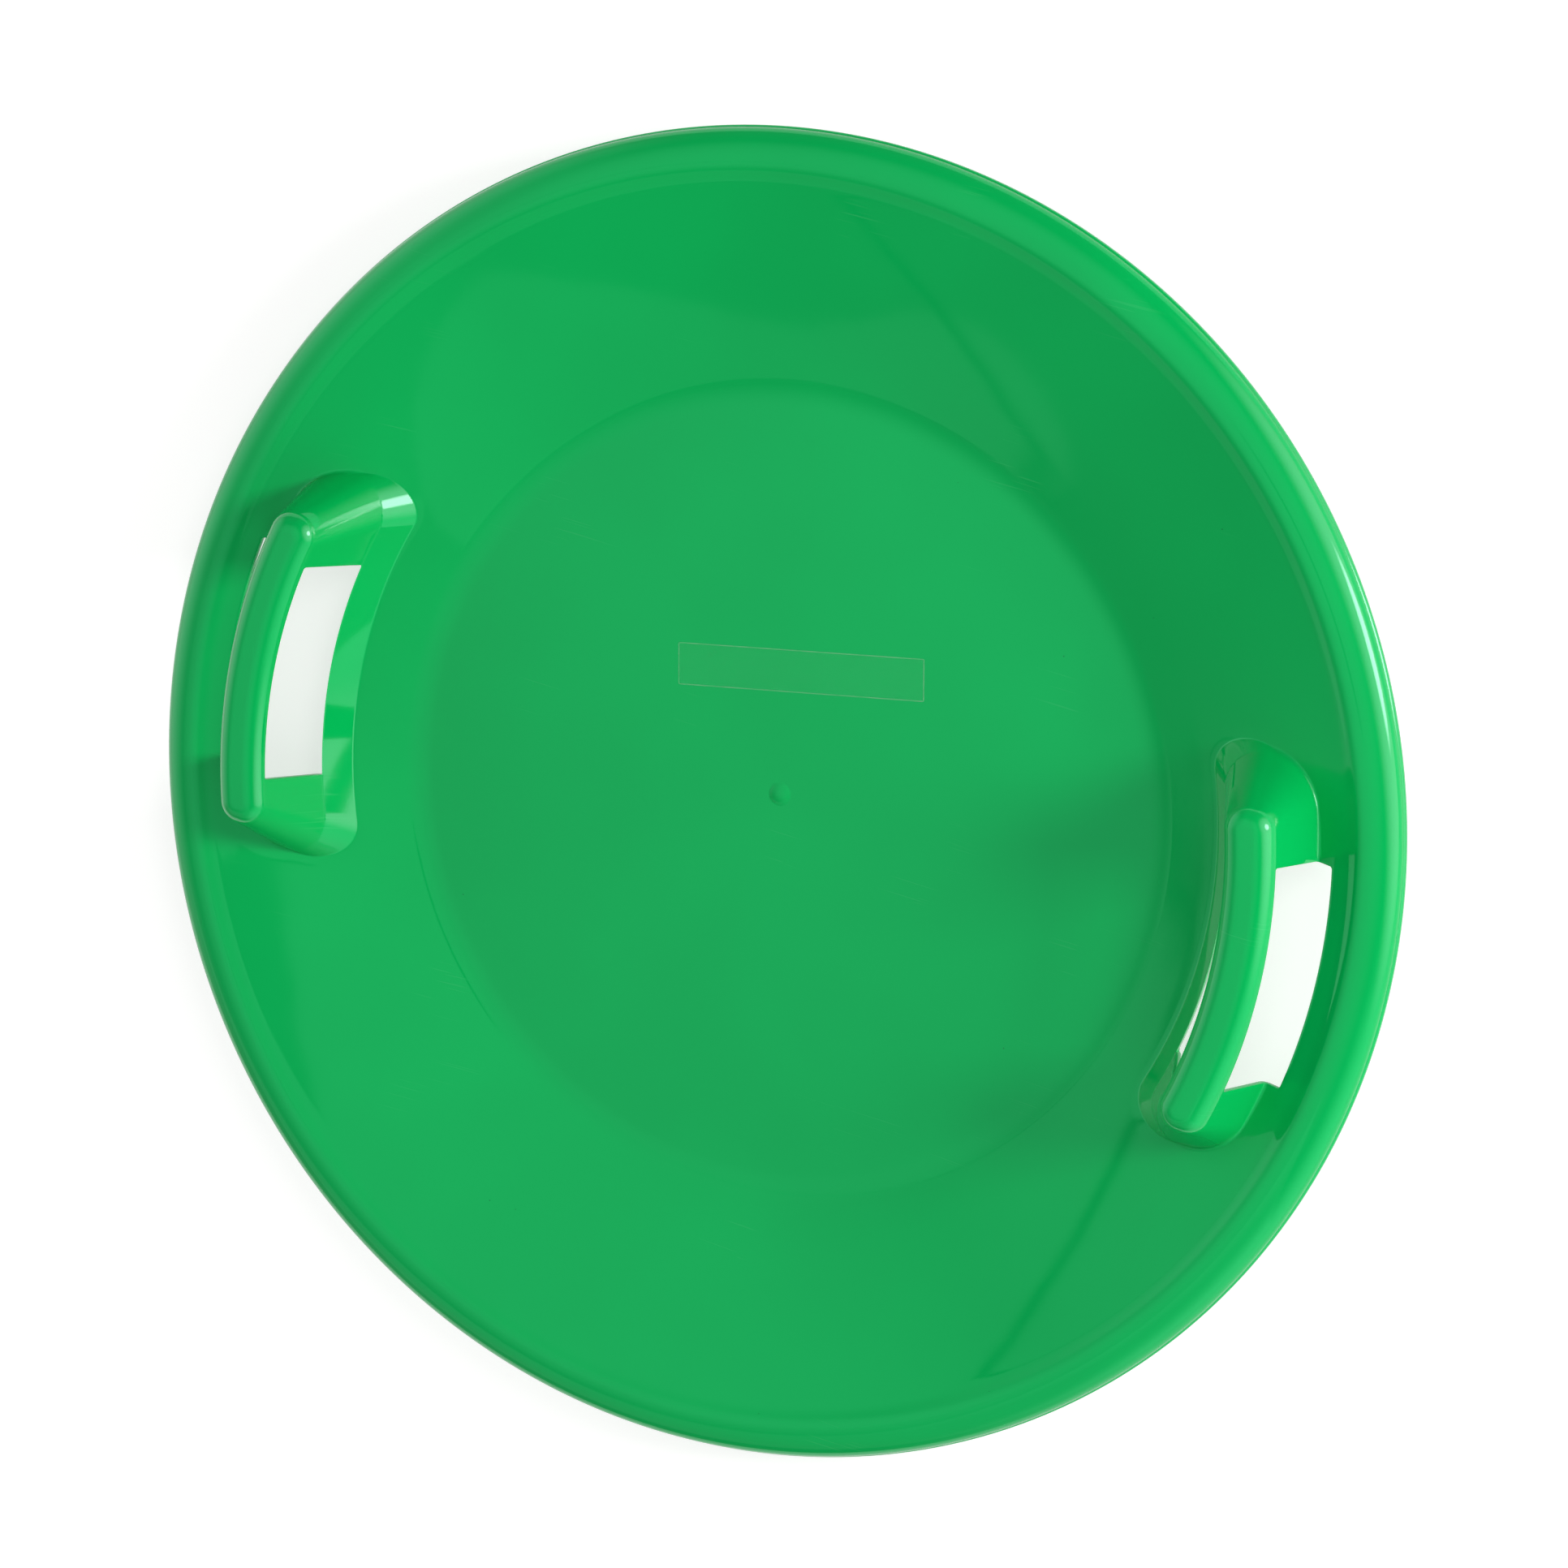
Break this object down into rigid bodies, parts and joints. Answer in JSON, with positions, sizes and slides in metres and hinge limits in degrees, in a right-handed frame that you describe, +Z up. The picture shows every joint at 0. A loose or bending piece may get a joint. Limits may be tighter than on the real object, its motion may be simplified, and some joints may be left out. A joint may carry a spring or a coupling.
{
  "type": "saucer sled",
  "caption": "Round one-piece snow saucer with a flat floor, sloping side, rolled lip and a moulded grip over a hand slot on each side.",
  "frame": {"origin": "centre of the underside, on the surface that the sled rests on", "axes": "+Z up out of the open side, +X through the middle of one grip, +Y along the grips"},
  "size_m": [0.66, 0.66, 0.0739],
  "materials": {
    "green_plastic": "glossy moulded polyethylene, slightly waxy",
    "clear_film": "clear vinyl film, bare"
  },
  "bodies": {
    "root": {"sled_shell": "green_plastic", "label": "clear_film"}
  },
  "joints": []
}
